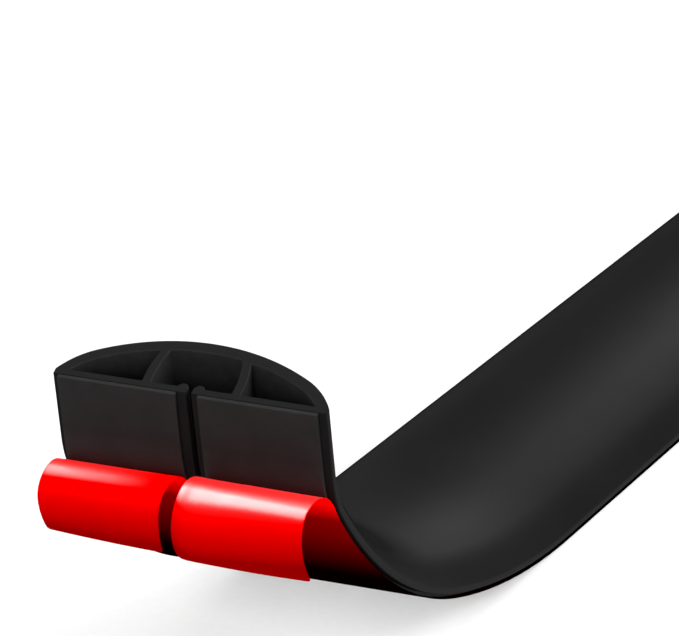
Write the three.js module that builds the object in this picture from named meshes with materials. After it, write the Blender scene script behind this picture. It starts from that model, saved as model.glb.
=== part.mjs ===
// Floor cord cover: a hollow low dome of soft black plastic that hides cords on a floor.
// Two tapes on its underside stick it down, and a red release liner covers each tape.
// The length lies flat along +Y. Its near end is bent up, and there the liners are peeled back.
// Millimetres, +Z up, floor at z = 0, X across the cover, origin in the middle of its footprint.
//
// A section point is [x, v]: x across the cover, v up from its underside into the dome.

import * as THREE from 'three';

// Cross-section of the cover, with angles in degrees
const coverWidth = 76;
const coverHeight = 15.9;
const sideHeight = 1.8;
const sideSlope = 55.7;
const shoulderRadius = 22;
const domeWall = 3;
const baseThickness = 2;
const slitWidth = 1.3;
const lipHeight = 3;
const lipRadius = 1.6;

// The two ribs that part the hollow into a middle channel and two side chambers
const ribThickness = 2.5;
const ribFootOffset = 12.4;
const ribHeadOffset = 11.3;
const ribBow = 0.5;

// Length along the underside, the bend near its end, and the lean of the cut end face
const developedLength = 1000;
const wideBendRadius = 285.6;
const wideBendAngle = 16.1;
const middleBendRadius = 160.9;
const middleBendAngle = 32.4;
const tightBendRadius = 26;
const tightBendAngle = 30;
const straightTip = 18.8;
const endSlant = 20;

// Tapes and liners
const tapeWidth = 33.1;
const tapeThickness = 1;
const leftTapeMiddle = -19.9;
const rightTapeMiddle = 19.2;
const linerWidth = 34.6;
const linerThickness = 0.3;
const leftLinerMiddle = -20;
const rightLinerMiddle = 20.3;

// The peeled ends of the liners: each turns off its tape, bends over a crown, then curls down
const peeledLength = 28.6;
const leftTurnRadius = 9.2;
const leftTurnAngle = 64;
const leftCrownRadius = 12.6;
const leftCrownAngle = 25.2;
const leftCurlRadius = 8.3;
const leftCurlAngle = 129.2;
const rightTurnRadius = 14.4;
const rightTurnAngle = 84;
const rightCrownRadius = 3.1;
const rightCrownAngle = 28.5;
const rightCurlRadius = 11.9;
const rightCurlAngle = 105.7;

// Fineness of the round shapes
const bendStep = 4.5;
const curlStep = 12;
const domeSteps = 7;
const roofSteps = 5;
const ribSteps = 4;
const lipSteps = 5;

const rad = THREE.MathUtils.degToRad;
const halfWidth = coverWidth / 2;
const wideBendLength = wideBendRadius * rad(wideBendAngle);
const middleBendLength = middleBendRadius * rad(middleBendAngle);
const tightBendLength = tightBendRadius * rad(tightBendAngle);

// The dome is a crown arc between two tighter shoulder arcs that end on the sides.
const shoulderX = halfWidth - shoulderRadius * Math.sin(rad(sideSlope));
const shoulderV = sideHeight - shoulderRadius * Math.cos(rad(sideSlope));
const shoulderRise = coverHeight - shoulderV;
const crownRadius =
  (shoulderX ** 2 + shoulderRise ** 2 - shoulderRadius ** 2) / (2 * (shoulderRise - shoulderRadius));
const crownV = coverHeight - crownRadius;
const crownHalfAngle = Math.atan2(shoulderX, shoulderV - crownV);

// The point of the dome, or of its inside at a depth, whose normal leans by an angle in radians.
function domePoint(angle, depth) {
  if (Math.abs(angle) <= crownHalfAngle) {
    const radius = crownRadius - depth;
    return [radius * Math.sin(angle), crownV + radius * Math.cos(angle)];
  }
  const radius = shoulderRadius - depth;
  return [Math.sign(angle) * shoulderX + radius * Math.sin(angle), shoulderV + radius * Math.cos(angle)];
}

// The lean of the dome's normal at a distance x to the right of the middle.
function domeAngleAt(x, depth) {
  const crownReach = (crownRadius - depth) * Math.sin(crownHalfAngle);
  if (x <= crownReach) return Math.asin(x / (crownRadius - depth));
  return Math.asin((x - shoulderX) / (shoulderRadius - depth));
}

function domeArc(from, to, depth, steps) {
  const points = [];
  for (let i = 0; i <= steps; i += 1) {
    points.push(domePoint(from + ((to - from) * i) / steps, depth));
  }
  return points;
}

// The same points on the other side of the middle, in the same order.
function mirror(points) {
  return points.map(([x, v]) => [-x, v]);
}

// A face of the right rib from its foot up to the roof: side -1 faces the channel, 1 the chamber.
function ribFace(side) {
  const foot = ribFootOffset + (side * ribThickness) / 2;
  const head = ribHeadOffset + (side * ribThickness) / 2;
  const roof = domePoint(domeAngleAt(head, domeWall), domeWall)[1];
  const points = [];
  for (let i = 0; i <= ribSteps; i += 1) {
    const u = i / ribSteps;
    const bow = ribBow * 4 * u * (1 - u);
    points.push([foot + (head - foot) * u + bow, baseThickness + (roof - baseThickness) * u]);
  }
  return points;
}

// The rounded lip right of the slit, from the underside up and over to the top of the base.
function lip() {
  const centreX = slitWidth / 2 + lipRadius;
  const centreV = lipHeight - lipRadius;
  const last = Math.asin((baseThickness - centreV) / lipRadius);
  const points = [[slitWidth / 2, 0]];
  for (let i = 0; i <= lipSteps; i += 1) {
    const angle = Math.PI + ((last - Math.PI) * i) / lipSteps;
    points.push([centreX + lipRadius * Math.cos(angle), centreV + lipRadius * Math.sin(angle)]);
  }
  return points;
}

// The cover's outline, anticlockwise. It runs through the slit and round the middle channel.
function coverOutline() {
  const rightDome = [
    ...domeArc(rad(sideSlope), crownHalfAngle, 0, domeSteps),
    ...domeArc(crownHalfAngle, 0, 0, domeSteps).slice(1),
  ];
  const leftDome = mirror(rightDome).reverse().slice(1);
  const channelSide = [...lip(), ...ribFace(-1)];
  const roofAngle = domeAngleAt(ribHeadOffset - ribThickness / 2, domeWall);
  const roof = domeArc(-roofAngle, roofAngle, domeWall, roofSteps).slice(1, -1);
  return [
    [halfWidth, 0],
    ...rightDome,
    ...leftDome,
    [-halfWidth, 0],
    ...mirror(channelSide),
    ...roof,
    ...channelSide.slice().reverse(),
  ];
}

// The right side chamber, clockwise: up the rib, out under the dome to its tip on the base.
function rightChamber() {
  const headAngle = domeAngleAt(ribHeadOffset + ribThickness / 2, domeWall);
  const tipAngle = Math.acos((baseThickness - shoulderV) / (shoulderRadius - domeWall));
  return [
    ...ribFace(1),
    ...domeArc(headAngle, crownHalfAngle, domeWall, roofSteps).slice(1),
    ...domeArc(crownHalfAngle, tipAngle, domeWall, domeSteps).slice(1),
  ];
}

function stripOutline(width, middle, low, high) {
  const left = middle - width / 2;
  const right = middle + width / 2;
  return [[left, low], [right, low], [right, high], [left, high]];
}

// A pose is a place on a path in the plane x = 0: y, z, and the slope up from the floor.
// A span goes on from it by a length, and turns it by an angle in radians over that length.
function walk(start, spans, degreesPerStep) {
  const poses = [start];
  for (const { length, turn } of spans) {
    const steps = Math.max(1, Math.ceil(Math.abs(turn) / rad(degreesPerStep)));
    const from = poses[poses.length - 1];
    for (let i = 1; i <= steps; i += 1) {
      const slope = from.slope + (turn * i) / steps;
      const reach = (length * i) / steps;
      const chord = turn === 0 ? reach : (2 * length * Math.sin((turn * i) / steps / 2)) / turn;
      const heading = (from.slope + slope) / 2;
      poses.push({
        y: from.y - chord * Math.cos(heading),
        z: from.z + chord * Math.sin(heading),
        slope,
      });
    }
  }
  return poses;
}

// The spans of the underside between two distances from the far end.
function undersideSpans(from, to) {
  const bent = wideBendLength + middleBendLength + tightBendLength;
  const parts = [
    { length: developedLength - bent - straightTip, rate: 0 },
    { length: wideBendLength, rate: 1 / wideBendRadius },
    { length: middleBendLength, rate: 1 / middleBendRadius },
    { length: tightBendLength, rate: 1 / tightBendRadius },
    { length: straightTip, rate: 0 },
  ];
  const spans = [];
  let begin = 0;
  for (const { length, rate } of parts) {
    const inside = Math.min(to, begin + length) - Math.max(from, begin);
    if (inside > 0) spans.push({ length: inside, turn: inside * rate });
    begin += length;
  }
  return spans;
}

// A pose moved square to the path: v up into the dome, and below the underside if negative.
function shift(pose, v) {
  return {
    y: pose.y + v * Math.sin(pose.slope),
    z: pose.z + v * Math.cos(pose.slope),
    slope: pose.slope,
  };
}

const farPose = { y: developedLength / 2, z: tapeThickness + linerThickness, slope: 0 };
const peelDistance = developedLength - peeledLength;
const coveredPoses = walk(farPose, undersideSpans(0, peelDistance), bendStep);
const bare = undersideSpans(peelDistance, developedLength);
const barePoses = walk(coveredPoses[coveredPoses.length - 1], bare, bendStep).slice(1);
const coverPoses = [...coveredPoses, ...barePoses];

function arcSpan(radius, degrees) {
  return { length: radius * rad(degrees), turn: -rad(degrees) };
}

// The face of a liner that lies on its tape, and its free end that follows the given spans.
function linerPoses(freeSpans) {
  const onTape = coveredPoses.map((pose) => shift(pose, -tapeThickness));
  return [...onTape, ...walk(onTape[onTape.length - 1], freeSpans, curlStep).slice(1)];
}

// A closed solid: an anticlockwise outline and clockwise holes swept along poses.
// lean tips the last face, so that its high points reach further along the path.
function sweep(outline, holes, poses, lean) {
  const loops = [outline, ...holes];
  const section = loops.flat();
  const positions = [];
  poses.forEach((pose, i) => {
    const stretch = i === poses.length - 1 ? Math.tan(lean) : 0;
    for (const [x, v] of section) {
      const place = shift(pose, v);
      const y = place.y - v * stretch * Math.cos(pose.slope);
      const z = place.z + v * stretch * Math.sin(pose.slope);
      positions.push(x, y, z);
    }
  });
  const triangles = [];
  const size = section.length;
  for (let i = 0; i < poses.length - 1; i += 1) {
    let first = 0;
    for (const loop of loops) {
      for (let j = 0; j < loop.length; j += 1) {
        const a = i * size + first + j;
        const b = i * size + first + ((j + 1) % loop.length);
        triangles.push(a, b, b + size, a, b + size, a + size);
      }
      first += loop.length;
    }
  }
  const flatten = (loop) => loop.map(([x, v]) => new THREE.Vector2(x, v));
  const lastRing = (poses.length - 1) * size;
  for (const face of THREE.ShapeUtils.triangulateShape(flatten(outline), holes.map(flatten))) {
    const area = THREE.ShapeUtils.area(face.map((index) => new THREE.Vector2(...section[index])));
    const [a, b, c] = area > 0 ? face : face.slice().reverse();
    triangles.push(c, b, a, a + lastRing, b + lastRing, c + lastRing);
  }
  const geometry = new THREE.BufferGeometry();
  geometry.setAttribute('position', new THREE.Float32BufferAttribute(positions, 3));
  geometry.setIndex(triangles);
  geometry.computeVertexNormals();
  return geometry;
}

const satinBlack = new THREE.MeshStandardMaterial({ color: 0x242425, roughness: 0.45, metalness: 0 });
const foamGrey = new THREE.MeshStandardMaterial({ color: 0x2a2729, roughness: 0.7, metalness: 0 });
const glossRed = new THREE.MeshStandardMaterial({ color: 0xe30613, roughness: 0.2, metalness: 0 });

const floorCordCover = new THREE.Group();

function addPiece(name, geometry, material) {
  const mesh = new THREE.Mesh(geometry, material.clone());
  mesh.name = name;
  floorCordCover.add(mesh);
}

function addCover() {
  const chamber = rightChamber();
  const holes = [chamber, mirror(chamber).reverse()];
  addPiece('cover_profile', sweep(coverOutline(), holes, coverPoses, rad(endSlant)), satinBlack);
}

function addTape(name, middle) {
  const outline = stripOutline(tapeWidth, middle, -tapeThickness, 0);
  addPiece(name, sweep(outline, [], coverPoses, rad(endSlant)), foamGrey);
}

function addLiner(name, middle, freeSpans) {
  const outline = stripOutline(linerWidth, middle, -linerThickness, 0);
  addPiece(name, sweep(outline, [], linerPoses(freeSpans), 0), glossRed);
}

addCover();
addTape('adhesive_strip_left', leftTapeMiddle);
addTape('adhesive_strip_right', rightTapeMiddle);
addLiner('release_liner_left', leftLinerMiddle, [
  arcSpan(leftTurnRadius, leftTurnAngle),
  arcSpan(leftCrownRadius, leftCrownAngle),
  arcSpan(leftCurlRadius, leftCurlAngle),
]);
addLiner('release_liner_right', rightLinerMiddle, [
  arcSpan(rightTurnRadius, rightTurnAngle),
  arcSpan(rightCrownRadius, rightCrownAngle),
  arcSpan(rightCurlRadius, rightCurlAngle),
]);

// The origin goes to the middle of the footprint.
const footprint = new THREE.Box3().setFromObject(floorCordCover);
floorCordCover.position.y = -footprint.getCenter(new THREE.Vector3()).y;

export default floorCordCover;
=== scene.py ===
"""Looks of a floor cord cover: a long hollow dome of soft black plastic on a light floor.

Its near end is bent up towards the camera. Two tapes show on its underside there, and the
red release liners are peeled back off them in curls. Lengths are in millimetres, and meshes,
UV maps, lights and the camera are in metres. A section point is (x, v): x across the cover,
v up from its underside into the dome. A pose is (y, z, slope): a place along the cover, and
how steeply the way on to the near end climbs there, in radians.
"""

import math

import bmesh
import bpy
import numpy as np
from mathutils import Euler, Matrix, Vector, geometry


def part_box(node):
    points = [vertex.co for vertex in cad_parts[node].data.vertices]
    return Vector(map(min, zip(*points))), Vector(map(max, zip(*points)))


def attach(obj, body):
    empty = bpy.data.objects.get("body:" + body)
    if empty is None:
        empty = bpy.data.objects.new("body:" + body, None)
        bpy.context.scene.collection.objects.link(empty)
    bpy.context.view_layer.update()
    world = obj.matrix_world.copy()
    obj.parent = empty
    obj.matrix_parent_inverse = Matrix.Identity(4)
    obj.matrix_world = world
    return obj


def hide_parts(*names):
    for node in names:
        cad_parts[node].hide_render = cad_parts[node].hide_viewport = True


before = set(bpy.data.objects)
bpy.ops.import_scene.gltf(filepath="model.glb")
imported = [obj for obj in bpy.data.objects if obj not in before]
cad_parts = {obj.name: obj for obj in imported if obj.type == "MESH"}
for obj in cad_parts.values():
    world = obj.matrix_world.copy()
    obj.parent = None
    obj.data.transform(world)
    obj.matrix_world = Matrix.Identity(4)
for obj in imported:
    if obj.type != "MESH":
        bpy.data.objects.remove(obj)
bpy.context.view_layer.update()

MM = 0.001

# Cross-section of the cover, with angles in degrees
COVER_WIDTH = 76.0
COVER_HEIGHT = 15.9
SIDE_HEIGHT = 1.8
SIDE_SLOPE = 55.7
SHOULDER_RADIUS = 22.0
DOME_WALL = 3.0
BASE_THICKNESS = 2.0
SLIT_WIDTH = 1.3
LIP_HEIGHT = 3.0
LIP_RADIUS = 1.6
RIB_THICKNESS = 2.5
RIB_FOOT_OFFSET = 12.4
RIB_HEAD_OFFSET = 11.3
RIB_BOW = 0.5

# Length along the underside, the bend's arcs (radius, degrees), and the lean of the cut end
DEVELOPED_LENGTH = 1000.0
BENDS = ((285.6, 16.1), (160.9, 32.4), (26.0, 30.0))
STRAIGHT_TIP = 18.8
END_SLANT = 20.0

# Tapes and liners
TAPE_WIDTH = 33.1
TAPE_THICKNESS = 1.0
TAPE_MIDDLES = {"left": -19.9, "right": 19.2}
LINER_WIDTH = 34.6
LINER_THICKNESS = 0.3
LINER_MIDDLES = {"left": -20.0, "right": 20.3}
PEELED_LENGTH = 28.6

# How each peeled liner runs on at its left and right edges: lengths, and degrees turned on each
CURLS = {
    "left": (
        ((1.2, 0.0), (12.4, 72.8), (5.6, 33.2), (5.2, 56.5), (11.0, 29.7)),
        ((1.5, 0.0), (9.4, 54.0), (7.6, 33.3), (6.2, 57.6), (11.0, 33.2)),
    ),
    "right": (
        ((0.7, 0.0), (14.1, 51.6), (10.4, 58.8), (10.7, 60.5), (11.6, 52.6)),
        ((0.7, 0.0), (20.0, 84.0), (4.5, 50.3), (7.0, 32.1), (10.2, 26.0)),
    ),
}

# Radii of each liner's two free corners, and the reach over which its bending is evened out
FREE_CORNERS = {"left": (1.0, 1.0), "right": (6.0, 1.0)}
CURL_EASING = 2.0

# Places along the strips, as distances past the peel: where the painted shade on the film lying on the
# tape starts to lift, where the film lifts off, where its sheen starts and ends, where painted shade
# starts to darken it as it hangs, and where the painted light on the bared tape starts to fade and has
# faded out
LYING_SHADE_FADE_START = -46.0
LIFT_START = -3.0
LIFT_END = 4.0
GLOSS_START = -1.0
GLOSS_FULL = 4.0
GLOSS_END = {"left": 18.5, "right": 26.5}
PAINTED_SHADE_START = {"left": 20.0, "right": 25.0}
PAINTED_LIGHT_END = 2.0
PAINTED_LIGHT_FADE_END = 14.0

# Lengths over which the sheen ends, painted shade darkens the hanging film, and the sheen fades across
# the film
GLOSS_FALL = 4.0
PAINTED_SHADE_LENGTH = 14.5
GLOSS_FADE = 30.0

# The x at which each film's sheen has faded out: the right film keeps its sheen to its edge
GLOSS_EDGE = {"left": -7.0, "right": 80.0}

# Small roundings that moulding and cutting leave
CORNER_RADIUS = 0.45
CHAMFER = 0.22
TAPE_CORNER_RADIUS = 0.25
TAPE_CHAMFER = 0.05
LINER_EDGE_BULGE = 0.12

# A corner that turns by fewer degrees isn't rounded, and a rounding takes this share of an edge
LEAST_TURN = 18.0
MOST_CUT = 0.45

# Steps in each stretch of the section
SHOULDER_STEPS = 14
CROWN_STEPS = 20
ROOF_STEPS = 14
CHAMBER_ROOF_STEPS = 10
CHAMBER_SHOULDER_STEPS = 12
RIB_STEPS = 10
LIP_STEPS = 10
ROUNDING_STEPS = 3
TAPE_COLUMNS = 12
LINER_COLUMNS = 28

# Most degrees and most length in a step along the cover, and rows in a peeled liner
BEND_STEP = 1.5
FLAT_STEP = 12.0
FREE_ROWS = 80

# Creases sharper than this many degrees stay sharp in the shading
SHARP_ANGLE = 30.0
LINER_SHARP_ANGLE = 50.0

# Which of a piece's materials its faces take
WALL_MATERIAL = 0
END_MATERIAL = 1
HOLLOW_MATERIAL = 2
FRONT_MATERIAL = 0
BACK_MATERIAL = 1

HALF_WIDTH = COVER_WIDTH / 2
PEEL_DISTANCE = DEVELOPED_LENGTH - PEELED_LENGTH

# The dome: a crown arc between two tighter shoulder arcs
SHOULDER_X = HALF_WIDTH - SHOULDER_RADIUS * math.sin(math.radians(SIDE_SLOPE))
SHOULDER_V = SIDE_HEIGHT - SHOULDER_RADIUS * math.cos(math.radians(SIDE_SLOPE))
SHOULDER_RISE = COVER_HEIGHT - SHOULDER_V
CROWN_RADIUS = (SHOULDER_X**2 + SHOULDER_RISE**2 - SHOULDER_RADIUS**2) / (
    2 * (SHOULDER_RISE - SHOULDER_RADIUS)
)
CROWN_V = COVER_HEIGHT - CROWN_RADIUS
CROWN_HALF_ANGLE = math.atan2(SHOULDER_X, SHOULDER_V - CROWN_V)


def dome_point(angle, depth):
    """The point of the dome, or of its inside at a depth, whose normal leans by an angle."""
    if abs(angle) <= CROWN_HALF_ANGLE:
        radius = CROWN_RADIUS - depth
        return (radius * math.sin(angle), CROWN_V + radius * math.cos(angle))
    radius = SHOULDER_RADIUS - depth
    side = math.copysign(SHOULDER_X, angle)
    return (side + radius * math.sin(angle), SHOULDER_V + radius * math.cos(angle))


def dome_angle_at(x, depth):
    """The lean of the dome's normal at a distance x to the right of the middle."""
    if x <= (CROWN_RADIUS - depth) * math.sin(CROWN_HALF_ANGLE):
        return math.asin(x / (CROWN_RADIUS - depth))
    return math.asin((x - SHOULDER_X) / (SHOULDER_RADIUS - depth))


def dome_arc(start, end, depth, steps):
    return [dome_point(start + (end - start) * i / steps, depth) for i in range(steps + 1)]


def mirror(points):
    return [(-x, v) for x, v in points]


def rib_face(side):
    """A face of the right rib from foot to roof: side -1 faces the channel, 1 the chamber."""
    foot = RIB_FOOT_OFFSET + side * RIB_THICKNESS / 2
    head = RIB_HEAD_OFFSET + side * RIB_THICKNESS / 2
    roof = dome_point(dome_angle_at(head, DOME_WALL), DOME_WALL)[1]
    points = []
    for i in range(RIB_STEPS + 1):
        u = i / RIB_STEPS
        x = foot + (head - foot) * u + RIB_BOW * 4 * u * (1 - u)
        points.append((x, BASE_THICKNESS + (roof - BASE_THICKNESS) * u))
    return points


def lip():
    """The rounded lip right of the slit, from the underside up and over to the base's top."""
    centre_x = SLIT_WIDTH / 2 + LIP_RADIUS
    centre_v = LIP_HEIGHT - LIP_RADIUS
    last = math.asin((BASE_THICKNESS - centre_v) / LIP_RADIUS)
    points = [(SLIT_WIDTH / 2, 0.0)]
    for i in range(LIP_STEPS + 1):
        angle = math.pi + (last - math.pi) * i / LIP_STEPS
        points.append((centre_x + LIP_RADIUS * math.cos(angle), centre_v + LIP_RADIUS * math.sin(angle)))
    return points


def rounded(loop, radius):
    """The closed loop with a curve in place of each corner that turns enough."""
    points = [np.array(p, float) for p in loop]
    out = []
    for i, here in enumerate(points):
        before = points[i - 1] - here
        after = points[(i + 1) % len(points)] - here
        reach_before = np.linalg.norm(before)
        reach_after = np.linalg.norm(after)
        cosine = float(np.clip(-before @ after / (reach_before * reach_after), -1, 1))
        turn = math.acos(cosine)
        if math.degrees(turn) < LEAST_TURN:
            out.append(tuple(here))
            continue
        cut = min(radius * math.tan(turn / 2), MOST_CUT * reach_before, MOST_CUT * reach_after)
        first = here + before / reach_before * cut
        last = here + after / reach_after * cut
        for k in range(ROUNDING_STEPS + 1):
            t = k / ROUNDING_STEPS
            out.append(tuple((1 - t) ** 2 * first + 2 * t * (1 - t) * here + t**2 * last))
    return out


def cover_outline():
    """The cover's outline, anticlockwise, in through the slit and round the channel."""
    side_angle = math.radians(SIDE_SLOPE)
    right_dome = dome_arc(side_angle, CROWN_HALF_ANGLE, 0, SHOULDER_STEPS)
    right_dome += dome_arc(CROWN_HALF_ANGLE, 0, 0, CROWN_STEPS)[1:]
    left_dome = mirror(right_dome)[::-1][1:]
    channel_side = lip() + rib_face(-1)
    roof_angle = dome_angle_at(RIB_HEAD_OFFSET - RIB_THICKNESS / 2, DOME_WALL)
    roof = dome_arc(-roof_angle, roof_angle, DOME_WALL, ROOF_STEPS)[1:-1]
    outline = [(HALF_WIDTH, 0.0), *right_dome, *left_dome, (-HALF_WIDTH, 0.0)]
    return outline + [*mirror(channel_side), *roof, *channel_side[::-1]]


def right_chamber():
    """The hollow between the right rib and the dome."""
    head_angle = dome_angle_at(RIB_HEAD_OFFSET + RIB_THICKNESS / 2, DOME_WALL)
    tip_angle = math.acos((BASE_THICKNESS - SHOULDER_V) / (SHOULDER_RADIUS - DOME_WALL))
    roof = dome_arc(head_angle, CROWN_HALF_ANGLE, DOME_WALL, CHAMBER_ROOF_STEPS)[1:]
    shoulder = dome_arc(CROWN_HALF_ANGLE, tip_angle, DOME_WALL, CHAMBER_SHOULDER_STEPS)[1:]
    return rib_face(1) + roof + shoulder


def cover_loops():
    """The section's closed loops: the outline and the two side chambers."""
    chamber = right_chamber()
    loops = [cover_outline(), chamber, mirror(chamber)[::-1]]
    return [rounded(loop, CORNER_RADIUS) for loop in loops]


def strip_loop(width, middle, low, high, columns):
    """A flat rectangle, anticlockwise, with its long faces cut into columns."""
    xs = [middle - width / 2 + width * i / columns for i in range(columns + 1)]
    return [(x, low) for x in xs] + [(x, high) for x in reversed(xs)]


def walk(start, spans):
    """Poses along spans (length, radians turned) that start at a pose."""
    poses = [start]
    for length, turn in spans:
        bend_steps = math.ceil(abs(turn) / math.radians(BEND_STEP))
        steps = max(1, bend_steps, math.ceil(length / FLAT_STEP))
        y0, z0, slope0 = poses[-1]
        for i in range(1, steps + 1):
            part = i / steps
            half_turn = turn * part / 2
            chord = length * part * (math.sin(half_turn) / half_turn if turn else 1)
            slope = slope0 + turn * part
            heading = (slope0 + slope) / 2
            poses.append((y0 - chord * math.cos(heading), z0 + chord * math.sin(heading), slope))
    return poses


def underside_spans(start, end):
    """The spans of the underside between two distances from the far end."""
    bent = [(radius * math.radians(angle), 1 / radius) for radius, angle in BENDS]
    flat = DEVELOPED_LENGTH - STRAIGHT_TIP - sum(length for length, _ in bent)
    parts = [(flat, 0.0), *bent, (STRAIGHT_TIP, 0.0)]
    spans = []
    begin = 0.0
    for length, rate in parts:
        inside = min(end, begin + length) - max(start, begin)
        if inside > 0:
            spans.append((inside, inside * rate))
        begin += length
    return spans


def shift(pose, v):
    """The pose at a height v over the underside."""
    y, z, slope = pose
    return (y + v * math.sin(slope), z + v * math.cos(slope), slope)


def onward(pose, distance):
    """The place (y, z) straight on from a pose, towards the near end."""
    y, z, slope = pose
    return (y - distance * math.cos(slope), z + distance * math.sin(slope))


# Poses of the underside from the far end: under the liner, and bare past the peel
FAR_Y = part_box("cover_profile")[1][1] / MM
FAR_POSE = (FAR_Y, TAPE_THICKNESS + LINER_THICKNESS, 0.0)
COVERED = walk(FAR_POSE, underside_spans(0, PEEL_DISTANCE))
BARE = walk(COVERED[-1], underside_spans(PEEL_DISTANCE, DEVELOPED_LENGTH))
COVER_POSES = COVERED + BARE[1:]


def summed(values):
    """The running sum of the values, with the 0 before the first."""
    return np.concatenate([[0.0], np.cumsum(values)])


def run_lengths(points):
    """The distance to each of the points along the line through them."""
    return summed(np.linalg.norm(np.diff(points, axis=0), axis=1))


def inset(loop, depth):
    """The loop moved into its material, which lies on its left."""
    points = np.array(loop, float)
    ahead = np.roll(points, -1, axis=0) - points
    ahead /= np.linalg.norm(ahead, axis=1)[:, None]
    normal = np.stack([-ahead[:, 1], ahead[:, 0]], axis=1)
    both = normal + np.roll(normal, 1, axis=0)
    # Without a least share, a sharp corner would shoot out
    least_share = 0.5
    both /= np.maximum(np.sum(both * normal, axis=1), least_share)[:, None]
    return [tuple(p) for p in points + both * depth]


def ring(loops, pose, along, lean):
    """Points of the section at a pose, moved on along the path, more so higher up if it leans."""
    points = []
    for x, v in (p for loop in loops for p in loop):
        on = along + v * math.tan(lean)
        points.append((x, *onward(shift(pose, v), on)))
    return points


def sweep_rings(loops, inner, chamfer):
    """The section at each pose of the cover, drawn in to the inner loops at both ends."""
    first, last = COVER_POSES[0], COVER_POSES[-1]
    lean = math.radians(END_SLANT)
    rings = [ring(inner, first, 0, 0), ring(loops, first, chamfer, 0)]
    rings += [ring(loops, pose, 0, 0) for pose in COVER_POSES[1:-1]]
    rings += [ring(loops, last, -chamfer, lean), ring(inner, last, 0, lean)]
    return rings


def wall_faces(loops, ring_count):
    """The quads that join each ring to the next."""
    size = sum(len(loop) for loop in loops)
    faces = []
    for i in range(ring_count - 1):
        first = i * size
        for loop in loops:
            count = len(loop)
            for j in range(count):
                a, b = first + j, first + (j + 1) % count
                faces.append((a, b, b + size, a + size))
            first += count
    return faces


def end_faces(loops, last):
    """The triangles that close the first ring, and the last one, which starts at an index."""
    flat = [[Vector((x, v, 0)) for x, v in loop] for loop in loops]
    plain = [p for loop in loops for p in loop]
    faces = []
    for a, b, c in geometry.tessellate_polygon(flat):
        (ax, av), (bx, bv), (cx, cv) = plain[a], plain[b], plain[c]
        if (bx - ax) * (cv - av) - (bv - av) * (cx - ax) < 0:
            b, c = c, b
        faces.append((c, b, a))
        faces.append((a + last, b + last, c + last))
    return faces


def inside_hollow(a, b):
    """Whether an edge of the cover's section lies in its channel or a side chamber."""
    x, v = (a[0] + b[0]) / 2, (a[1] + b[1]) / 2
    if v < LIP_HEIGHT / 2 or abs(x) > HALF_WIDTH - DOME_WALL:
        return False
    return v < dome_point(math.copysign(dome_angle_at(abs(x), 0), x), 0)[1] - DOME_WALL / 2


def wall_materials(loops):
    """The material of the wall on each edge of the section."""
    materials = []
    for loop in loops:
        for a, b in zip(loop, loop[1:] + loop[:1]):
            materials.append(HOLLOW_MATERIAL if inside_hollow(a, b) else WALL_MATERIAL)
    return materials


def add_strip_uv(mesh, loops, rings, wall_count):
    """A UV map in metres: across the section on U and along the path on V."""
    around = [run_lengths(np.array(loop + loop[:1]) * MM) for loop in loops]
    along = run_lengths(rings[:, 0])
    uv = []
    for v0, v1 in zip(along, along[1:]):
        for marks in around:
            for u0, u1 in zip(marks, marks[1:]):
                uv += [u0, v0, u1, v0, u1, v1, u0, v1]
    flat = rings.reshape(-1, 3)
    for polygon in mesh.polygons[wall_count:]:
        for index in polygon.vertices:
            uv += [flat[index][0], flat[index][2]]
    mesh.uv_layers.new(name="strip").data.foreach_set("uv", uv)


def add_piece(name, mesh):
    piece = bpy.data.objects.new(name, mesh)
    bpy.context.scene.collection.objects.link(piece)
    return piece


def sweep(name, loops, chamfer):
    """A closed mesh swept along the cover, with chamfered ends."""
    inner = [inset(loop, chamfer) for loop in loops]
    rings = np.array(sweep_rings(loops, inner, chamfer)) * MM
    ring_count, size, _ = rings.shape
    walls = wall_faces(loops, ring_count)
    ends = end_faces(inner, (ring_count - 1) * size)
    mesh = bpy.data.meshes.new(name)
    mesh.from_pydata(rings.reshape(-1, 3).tolist(), [], walls + ends)
    add_strip_uv(mesh, loops, rings, len(walls))
    materials = wall_materials(loops) * (ring_count - 1) + [END_MATERIAL] * len(ends)
    mesh.polygons.foreach_set("material_index", materials)
    return add_piece(name, mesh)


def eased(values, reach):
    """A running mean of the values, over reach of them to each side."""
    padded = np.concatenate([np.full(reach, values[0]), values, np.full(reach, values[-1])])
    window = 2 * reach + 1
    return np.convolve(padded, np.full(window, 1 / window), mode="valid")


def free_run(start, spans, cut):
    """Poses of a peeled liner past a pose, along spans (length, degrees), ending short by a cut."""
    lengths = np.array([length for length, _ in spans])
    turns = np.radians([turn for _, turn in spans])
    total = lengths.sum() - cut
    step = total / FREE_ROWS
    at = np.linspace(0, total, FREE_ROWS + 1)
    turned = np.interp(at, summed(lengths), summed(turns))
    rates = eased(np.diff(turned), round(CURL_EASING / total * FREE_ROWS))
    slope = start[2] - summed(rates)
    middle = (slope[1:] + slope[:-1]) / 2
    y = start[0] - summed(np.cos(middle) * step)
    z = start[1] + summed(np.sin(middle) * step)
    return list(zip(y[1:], z[1:], slope[1:]))


def corner_cut(distance, radius):
    """How far a rounded corner of the free edge falls short, at a distance from the side."""
    if distance >= radius:
        return 0.0
    return radius - math.sqrt(radius**2 - (radius - distance) ** 2)


def between(first, last, share):
    return first + (last - first) * share


def curl_spans(side, share):
    """How a liner runs on past its peel, at a share of the way from its left edge to its right."""
    spans = []
    for (left_length, left_turn), (right_length, right_turn) in zip(*CURLS[side]):
        length = between(left_length, right_length, share)
        spans.append((length, between(left_turn, right_turn, share)))
    return spans


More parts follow.
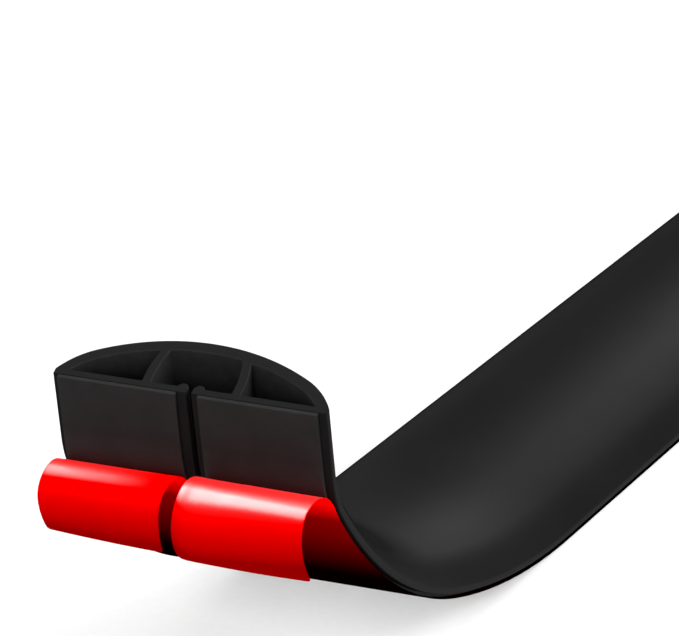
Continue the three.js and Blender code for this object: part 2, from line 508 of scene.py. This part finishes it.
def liner_columns(side):
    """For each column of a liner, closer together at its sides: its x, and its poses."""
    on_tape = [shift(pose, -TAPE_THICKNESS) for pose in COVERED]
    left_corner, right_corner = FREE_CORNERS[side]
    columns = []
    for i in range(LINER_COLUMNS + 1):
        share = 0.5 - 0.5 * math.cos(math.pi * i / LINER_COLUMNS)
        from_left = share * LINER_WIDTH
        from_right = (1 - share) * LINER_WIDTH
        cut = corner_cut(from_left, left_corner) + corner_cut(from_right, right_corner)
        x = LINER_MIDDLES[side] - LINER_WIDTH / 2 + from_left
        columns.append((x, on_tape + free_run(on_tape[-1], curl_spans(side, share), cut)))
    return columns


def sheet_faces(last_row, last_column):
    """A sheet's faces as corners (row, column, layer): front and back, and then the rim."""
    faces = []
    for i in range(last_row):
        for j in range(last_column):
            for layer in ("top", "low"):
                square = ((i, j), (i, j + 1), (i + 1, j + 1), (i + 1, j))
                faces.append([(row, column, layer) for row, column in square])
    for upper, lower in (("top", "mid"), ("mid", "low")):
        for i in range(last_row):
            for j in (0, last_column):
                faces.append([(i, j, upper), (i + 1, j, upper), (i + 1, j, lower), (i, j, lower)])
        for j in range(last_column):
            for i in (0, last_row):
                faces.append([(i, j, upper), (i, j + 1, upper), (i, j + 1, lower), (i, j, lower)])
    return faces


def liner_point(columns, corner):
    """The place of a liner's corner. Its middle layer stands out round the rim."""
    row, column, layer = corner
    x, poses = columns[column]
    depth = {"top": 0.0, "mid": LINER_THICKNESS / 2, "low": LINER_THICKNESS}[layer]
    pose = shift(poses[row], -depth)
    if layer != "mid":
        return (x, *pose[:2])
    out = LINER_EDGE_BULGE * ((column == len(columns) - 1) - (column == 0))
    on = LINER_EDGE_BULGE * ((row == len(poses) - 1) - (row == 0))
    return (x + out, *onward(pose, on))


def turn_faces_outward(mesh):
    work = bmesh.new()
    work.from_mesh(mesh)
    bmesh.ops.recalc_face_normals(work, faces=work.faces)
    work.to_mesh(mesh)
    work.free()


def sheet(name, columns):
    """A closed thin sheet: front on the poses, back a liner's thickness below, half-round rim."""
    middle = columns[len(columns) // 2][1]
    distance = run_lengths([pose[:2] for pose in middle])
    faces = sheet_faces(len(middle) - 1, len(columns) - 1)
    order = {}
    for face in faces:
        for corner in face:
            order.setdefault(corner, len(order))
    points = [liner_point(columns, corner) for corner in order]
    mesh = bpy.data.meshes.new(name)
    vertices = np.array(points) * MM
    mesh.from_pydata(vertices.tolist(), [], [[order[corner] for corner in face] for face in faces])
    layers = [{layer for _, _, layer in face} for face in faces]
    materials = [FRONT_MATERIAL if layer == {"top"} else BACK_MATERIAL for layer in layers]
    mesh.polygons.foreach_set("material_index", materials)
    turn_faces_outward(mesh)
    marks = [(point[0], distance[row]) for point, (row, _, _) in zip(points, order)]
    uv = [marks[index] for polygon in mesh.polygons for index in polygon.vertices]
    mesh.uv_layers.new(name="strip").data.foreach_set("uv", (np.array(uv) * MM).ravel())
    return add_piece(name, mesh)


# Materials


def grey(value):
    return (value, value, value)


def red(value):
    return (value, 0.0, 0.0)


# The two tones that each finish wanders or changes between, and that of the hanging film. The light tape
# tones are painted light near the peel; the tones of the film lying on the tape and that of the hanging
# film are painted shade
PVC_TONES = ((0.0074, 0.0074, 0.0076), (0.0088, 0.0088, 0.009))
CUT_PVC_TONES = ((0.0098, 0.0098, 0.01), (0.0118, 0.0118, 0.012))
INNER_PVC_TONES = (grey(0.019), grey(0.025))
BASE_TAPE_TONES = (grey(0.0152), grey(0.0184))
PAINTED_LIGHT_TAPE_TONES = (grey(0.03), grey(0.036))
TAPE_END_TONES = (grey(0.012), grey(0.015))
PAINTED_SHADE_LYING_TONES = (red(0.001), red(0.21))
CLEAR_FILM_TONES = (red(0.96), red(0.9))
PAINTED_SHADE_HANGING_TONE = red(0.24)
FLOOR_TONES = (grey(0.51), grey(0.53))

# Nearly all of a noise lies between these values
NOISE_LOW = 0.3
NOISE_HIGH = 0.7
NOISE_ROUGHNESS = 0.55

# The colour sockets of a mix node, by index, because its other sockets have the same names
MIX_FACTOR = 0
MIX_FIRST = 6
MIX_SECOND = 7
MIX_RESULT = 2


class Nodes:
    """A material's node tree, with short calls to add and join nodes."""

    def __init__(self, name):
        self.material = bpy.data.materials.new(name)
        self.material.use_nodes = True
        self.tree = self.material.node_tree
        self.shader = self.tree.nodes["Principled BSDF"]

    def feed(self, node, key, value):
        """Link a socket to an input, or set the input to a plain value."""
        if isinstance(value, bpy.types.NodeSocket):
            self.tree.links.new(value, node.inputs[key])
        else:
            node.inputs[key].default_value = value

    def add(self, kind, settings=None, **inputs):
        node = self.tree.nodes.new(kind)
        for key, value in (settings or {}).items():
            setattr(node, key, value)
        for key, value in inputs.items():
            self.feed(node, key.replace("_", " "), value)
        return node

    def set(self, **values):
        """Feed the shader itself."""
        for key, value in values.items():
            self.feed(self.shader, key.replace("_", " "), value)

    def place(self):
        """The point on the piece, in metres."""
        return self.add("ShaderNodeTexCoord").outputs["Object"]

    def strip(self):
        """The point on the strip map: metres across and along the piece."""
        return self.add("ShaderNodeUVMap", {"uv_map": "strip"}).outputs["UV"]

    def noise(self, vector, scale, detail):
        """A noise whose scale is per metre."""
        inputs = {"Vector": vector, "Scale": scale, "Detail": detail, "Roughness": NOISE_ROUGHNESS}
        return self.add("ShaderNodeTexNoise", **inputs).outputs["Fac"]

    def stretched_noise(self, vector, scales, detail):
        """A noise with a scale of its own on each axis, per metre."""
        mapping = self.add("ShaderNodeMapping", Vector=vector, Scale=scales)
        return self.noise(mapping.outputs["Vector"], scale=1.0, detail=detail)

    def spread(self, value, first, last, start=NOISE_LOW, end=NOISE_HIGH, shape="LINEAR"):
        """Map a value from the range start to end onto the range first to last."""
        node = self.add("ShaderNodeMapRange", {"interpolation_type": shape})
        ranges = {"Value": value, "From Min": start, "From Max": end, "To Min": first, "To Max": last}
        for key, setting in ranges.items():
            self.feed(node, key, setting)
        return node.outputs["Result"]

    def rise(self, value, start, end, shape="LINEAR"):
        return self.spread(value, 0.0, 1.0, start, end, shape)

    def fall(self, value, start, end, shape="LINEAR"):
        return self.spread(value, 1.0, 0.0, start, end, shape)

    def mix(self, factor, first, second):
        node = self.add("ShaderNodeMix", {"data_type": "RGBA"})
        self.feed(node, MIX_FACTOR, factor)
        for index, colour in ((MIX_FIRST, first), (MIX_SECOND, second)):
            plain = isinstance(colour, tuple)
            self.feed(node, index, (*colour, 1.0) if plain else colour)
        return node.outputs[MIX_RESULT]

    def blotched(self, noise, tones):
        """A colour that wanders between two tones with a noise."""
        return self.mix(self.spread(noise, 0.0, 1.0), *tones)

    def times(self, first, second):
        node = self.add("ShaderNodeMath", {"operation": "MULTIPLY"})
        self.feed(node, 0, first)
        self.feed(node, 1, second)
        return node.outputs[0]

    def bump(self, height, depth, under=None):
        """A bump of a depth in metres, laid over another one where that is given."""
        node = self.add("ShaderNodeBump", Strength=1.0, Distance=depth, Height=height)
        if under is not None:
            self.feed(node, "Normal", under)
        return node.outputs["Normal"]


def past_peel(distance):
    """The place along the strip map, in metres, that lies a distance past the peel."""
    return (PEEL_DISTANCE + distance) * MM


def plastic(name):
    """Satin black extruded PVC: fine grain, faint die lines along the length, soft sheen."""
    nodes = Nodes(name)
    place = nodes.place()
    strip = nodes.strip()
    die_lines = nodes.stretched_noise(strip, scales=(900, 5, 1), detail=3.0)
    waves = nodes.stretched_noise(strip, scales=(90, 9, 1), detail=2.0)
    grain = nodes.noise(place, scale=2600.0, detail=2.0)
    cloud = nodes.noise(place, scale=22.0, detail=3.0)
    wavy = nodes.bump(waves, depth=0.004 * MM)
    lined = nodes.bump(die_lines, depth=0.0006 * MM, under=wavy)
    grained = nodes.bump(grain, depth=0.008 * MM, under=lined)
    tone = nodes.blotched(cloud, PVC_TONES)
    nodes.set(Base_Color=tone, Roughness=nodes.spread(die_lines, 0.47, 0.49), Normal=grained)
    # The sheen fades out towards grazing angles
    slant = nodes.add("ShaderNodeLayerWeight", Blend=0.5).outputs["Facing"]
    sheen = nodes.spread(slant, 0.013, 0.0, start=0.68, end=0.92, shape="SMOOTHSTEP")
    nodes.set(Specular_IOR_Level=sheen)
    return nodes.material


def inner_plastic(name):
    """The plastic inside the hollows: dull, and a little lighter than the outside."""
    nodes = Nodes(name)
    inner_noise = nodes.noise(nodes.place(), scale=300.0, detail=3.0)
    tone = nodes.blotched(inner_noise, INNER_PVC_TONES)
    inner_bump = nodes.bump(inner_noise, depth=0.01 * MM)
    nodes.set(Base_Color=tone, Roughness=0.7, Normal=inner_bump, Specular_IOR_Level=0.0)
    return nodes.material


def cut_plastic(name):
    """The same plastic where a blade has cut it: duller, a little lighter, with drag marks."""
    nodes = Nodes(name)
    place = nodes.place()
    drag = nodes.stretched_noise(place, scales=(350, 350, 5000), detail=2.0)
    grain = nodes.noise(place, scale=3500.0, detail=2.0)
    dragged = nodes.bump(drag, depth=0.01 * MM)
    grained = nodes.bump(grain, depth=0.01 * MM, under=dragged)
    tone = nodes.blotched(drag, CUT_PVC_TONES)
    nodes.set(Base_Color=tone, Roughness=nodes.spread(grain, 0.5, 0.64), Normal=grained)
    nodes.set(Specular_IOR_Level=0.01)
    return nodes.material


def foam(name):
    """Mottled and pitted foam with no colour yet. Returns the nodes and the mottle."""
    nodes = Nodes(name)
    place = nodes.place()
    pits = nodes.noise(place, scale=1800.0, detail=3.0)
    mottle = nodes.noise(place, scale=160.0, detail=4.0)
    mottled = nodes.bump(mottle, depth=0.03 * MM)
    pitted = nodes.bump(pits, depth=0.01 * MM, under=mottled)
    nodes.set(Roughness=nodes.spread(pits, 0.42, 0.54), Normal=pitted, Specular_IOR_Level=0.03)
    return nodes, mottle


def tape(name):
    """Dark grey foam tape, with painted light: lighter near the peel, where the curl shades it."""
    nodes, mottle = foam(name)
    base_tape = nodes.blotched(mottle, BASE_TAPE_TONES)
    painted_light_tape = nodes.blotched(mottle, PAINTED_LIGHT_TAPE_TONES)
    # Round the bend, the tape's outer face runs ahead by about the tape's thickness
    along = nodes.add("ShaderNodeSeparateXYZ", Vector=nodes.strip()).outputs["Y"]
    # Painted light: the bared tape is lighter near the peel, and this fades out further on
    painted_light_end = past_peel(TAPE_THICKNESS + PAINTED_LIGHT_END)
    painted_light_fade_end = past_peel(TAPE_THICKNESS + PAINTED_LIGHT_FADE_END)
    nodes.set(Base_Color=nodes.mix(nodes.fall(along, painted_light_end, painted_light_fade_end), base_tape, painted_light_tape))
    return nodes.material


def tape_end(name):
    """The cut end of the tape, darker than its faces."""
    nodes, mottle = foam(name)
    nodes.set(Base_Color=nodes.blotched(mottle, TAPE_END_TONES))
    return nodes.material


def film(name, painted_shade_start):
    """The red of the release film: clear where it hangs free, with painted shade that fades it to near
    black away from the peel where it lies on the tape.

    Painted shade darkens it from a given distance past the peel on. Returns the nodes, and the place
    across and along the film.
    """
    nodes = Nodes(name)
    strip = nodes.strip()
    parts = nodes.add("ShaderNodeSeparateXYZ", Vector=strip)
    across, along = parts.outputs["X"], parts.outputs["Y"]
    haze = nodes.noise(nodes.place(), scale=90.0, detail=3.0)
    clear = nodes.blotched(haze, CLEAR_FILM_TONES)
    # Painted shade: the hanging film darkens towards its free end
    painted_shade_end = painted_shade_start + PAINTED_SHADE_LENGTH
    hanging_shade = nodes.rise(along, past_peel(painted_shade_start), past_peel(painted_shade_end))
    hanging = nodes.mix(hanging_shade, clear, PAINTED_SHADE_HANGING_TONE)
    # Painted shade: the film lying on the tape fades to near black away from the peel
    lying_shade_fade = nodes.rise(along, past_peel(LYING_SHADE_FADE_START), past_peel(LIFT_START))
    lying_painted_shade = nodes.mix(nodes.times(lying_shade_fade, lying_shade_fade), *PAINTED_SHADE_LYING_TONES)
    lifting = nodes.rise(along, past_peel(LIFT_START), past_peel(LIFT_END))
    ripple = nodes.stretched_noise(strip, scales=(60, 160, 1), detail=2.0)
    rippled = nodes.bump(ripple, depth=0.01 * MM)
    nodes.set(Base_Color=nodes.mix(lifting, lying_painted_shade, hanging), Roughness=0.33, Normal=rippled)
    return nodes, across, along


def film_back(name, painted_shade_start):
    """The side of the film that lay on the floor: the same red without the sheen."""
    nodes, _, _ = film(name, painted_shade_start)
    nodes.set(Specular_IOR_Level=0.0)
    return nodes.material


def film_front(name, painted_shade_start, gloss_edge, gloss_end):
    """The side of the film that lay on the tape, glossy where it bends over.

    The sheen has faded out at gloss_edge, an x, and at gloss_end, a distance past the peel.
    """
    nodes, across, along = film(name, painted_shade_start)
    rise = nodes.rise(along, past_peel(GLOSS_START), past_peel(GLOSS_FULL))
    fall = nodes.fall(along, past_peel(gloss_end - GLOSS_FALL), past_peel(gloss_end))
    fade = nodes.fall(across, (gloss_edge - GLOSS_FADE) * MM, gloss_edge * MM, "SMOOTHSTEP")
    nodes.set(Specular_IOR_Level=nodes.times(nodes.times(rise, fall), fade))
    return nodes.material


def floor_finish(name):
    """A light grey floor with a faint speckle."""
    nodes = Nodes(name)
    speckle = nodes.noise(nodes.place(), scale=400.0, detail=3.0)
    tone = nodes.blotched(speckle, FLOOR_TONES)
    nodes.set(Base_Color=tone, Roughness=0.35, Specular_IOR_Level=0.3)
    return nodes.material


# Pieces


def smooth(piece, sharp_angle):
    piece.data.shade_smooth()
    piece.data.set_sharp_from_angle(angle=math.radians(sharp_angle))


def dress(piece, node, materials, sharp_angle=SHARP_ANGLE):
    for material in materials:
        piece.data.materials.append(material)
    smooth(piece, sharp_angle)
    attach(piece, "root")
    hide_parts(node)


def make_cover():
    piece = sweep("cover", cover_loops(), CHAMFER)
    finishes = [plastic("satin_pvc"), cut_plastic("cut_pvc"), inner_plastic("inner_pvc")]
    dress(piece, "cover_profile", finishes)


def make_tape(side, finishes):
    loop = strip_loop(TAPE_WIDTH, TAPE_MIDDLES[side], -TAPE_THICKNESS, 0.0, TAPE_COLUMNS)
    piece = sweep(f"tape_{side}", [rounded(loop, TAPE_CORNER_RADIUS)], TAPE_CHAMFER)
    dress(piece, f"adhesive_strip_{side}", finishes)


def make_liner(side):
    piece = sheet(f"liner_{side}", liner_columns(side))
    # Where painted shade starts to darken the hanging film
    start = PAINTED_SHADE_START[side]
    front = film_front(f"red_film_{side}", start, GLOSS_EDGE[side], GLOSS_END[side])
    back = film_back(f"red_film_back_{side}", start)
    dress(piece, f"release_liner_{side}", [front, back], LINER_SHARP_ANGLE)


tape_finishes = [tape("foam_tape"), tape_end("foam_tape_end")]
make_cover()
for side in ("left", "right"):
    make_tape(side, tape_finishes)
    make_liner(side)


# Stage

# The floor in metres, and the squares along each of its sides
FLOOR_SIZE = 12.0
FLOOR_MIDDLE = (0, 1.0, 0)
FLOOR_SQUARES = 4

# What the lights aim at, how far off a sun stands, which makes no difference, and the grey world
AIM = (0, -0.42, 0.04)
KEY_AIM = (0, -0.36, 0.04)
SUN_DISTANCE = 3.0
WORLD_STRENGTH = 0.04

# Where the camera stands in metres, how many degrees it looks left of +Y and down, how far it
# sees in metres, and its lens in millimetres
CAMERA_PLACE = (0.5360, -1.5733, 0.5221)
CAMERA_LEFT = 24.2
CAMERA_DOWN = 18.58
CAMERA_REACH = 50.0
SENSOR_WIDTH = 36.0
LENS = 275.1


def add_floor():
    bpy.ops.mesh.primitive_grid_add(
        x_subdivisions=FLOOR_SQUARES,
        y_subdivisions=FLOOR_SQUARES,
        size=FLOOR_SIZE,
        location=FLOOR_MIDDLE,
    )
    floor = bpy.context.object
    floor.name = "studio_floor"
    floor.data.materials.append(floor_finish("pale_floor"))


def place_light(data, azimuth, elevation, distance, aim):
    """A light seen from the aim point at an azimuth from +Y, turning to +X, and an elevation."""
    light = bpy.data.objects.new(data.name, data)
    bpy.context.scene.collection.objects.link(light)
    a, e = math.radians(azimuth), math.radians(elevation)
    direction = Vector((math.sin(a) * math.cos(e), math.cos(a) * math.cos(e), math.sin(e)))
    light.location = Vector(aim) + direction * distance
    light.rotation_euler = direction.to_track_quat("Z", "Y").to_euler()
    return light


def add_softbox(name, azimuth, elevation, distance, watts, size, aim=AIM):
    """A rectangular light of a size in metres."""
    data = bpy.data.lights.new(name, "AREA")
    data.energy = watts
    data.shape = "RECTANGLE"
    data.size, data.size_y = size
    return place_light(data, azimuth, elevation, distance, aim)


def add_sun(name, azimuth, elevation, strength, spread):
    """A light from far off whose rays spread over an angle in degrees."""
    data = bpy.data.lights.new(name, "SUN")
    data.energy = strength
    data.angle = math.radians(spread)
    return place_light(data, azimuth, elevation, SUN_DISTANCE, AIM)


def floor_group(name):
    group = bpy.data.collections.new(name)
    group.objects.link(bpy.data.objects["studio_floor"])
    return group


def shade_by_floor_only(light):
    """Keep the object from casting a shadow in this light, so that its highlight stays whole."""
    light.light_linking.blocker_collection = floor_group(f"{light.name}_blockers")


def light_floor_only(light):
    """Keep this light off the object: it only lights the floor, and the object still shades it."""
    light.light_linking.receiver_collection = floor_group(f"{light.name}_receivers")


def add_lights():
    key = add_softbox(
        "key_softbox",
        azimuth=-90,
        elevation=66,
        distance=1.5,
        watts=24.0,
        size=(1.5, 0.22),
        aim=KEY_AIM,
    )
    shade_by_floor_only(key)
    add_softbox("right_fill", azimuth=78, elevation=31, distance=2.2, watts=60.0, size=(2.0, 1.6))
    add_softbox("front_low", azimuth=172, elevation=13, distance=2.0, watts=15.5, size=(2.2, 0.8))
    add_sun("overhead", azimuth=-8, elevation=84, strength=0.9, spread=70)
    wash = add_sun("floor_wash", azimuth=180, elevation=25, strength=5.5, spread=16)
    light_floor_only(wash)
    strip = add_softbox("back_strip", azimuth=-7, elevation=19, distance=2.4, watts=8.3, size=(0.35, 1.1))
    shade_by_floor_only(strip)


def add_world():
    world = bpy.data.worlds.new("studio")
    bpy.context.scene.world = world
    world.use_nodes = True
    background = world.node_tree.nodes["Background"]
    background.inputs["Color"].default_value = (1, 1, 1, 1)
    background.inputs["Strength"].default_value = WORLD_STRENGTH


def add_camera():
    data = bpy.data.cameras.new("camera")
    data.sensor_width = SENSOR_WIDTH
    data.sensor_fit = "HORIZONTAL"
    data.lens = LENS
    data.clip_end = CAMERA_REACH
    camera = bpy.data.objects.new("camera", data)
    camera.location = CAMERA_PLACE
    camera.rotation_euler = Euler((math.radians(90 - CAMERA_DOWN), 0, math.radians(CAMERA_LEFT)))
    bpy.context.scene.collection.objects.link(camera)
    bpy.context.scene.camera = camera


add_floor()
add_lights()
add_world()
add_camera()
bpy.context.scene.view_settings.view_transform = "Standard"

bpy.context.view_layer.update()
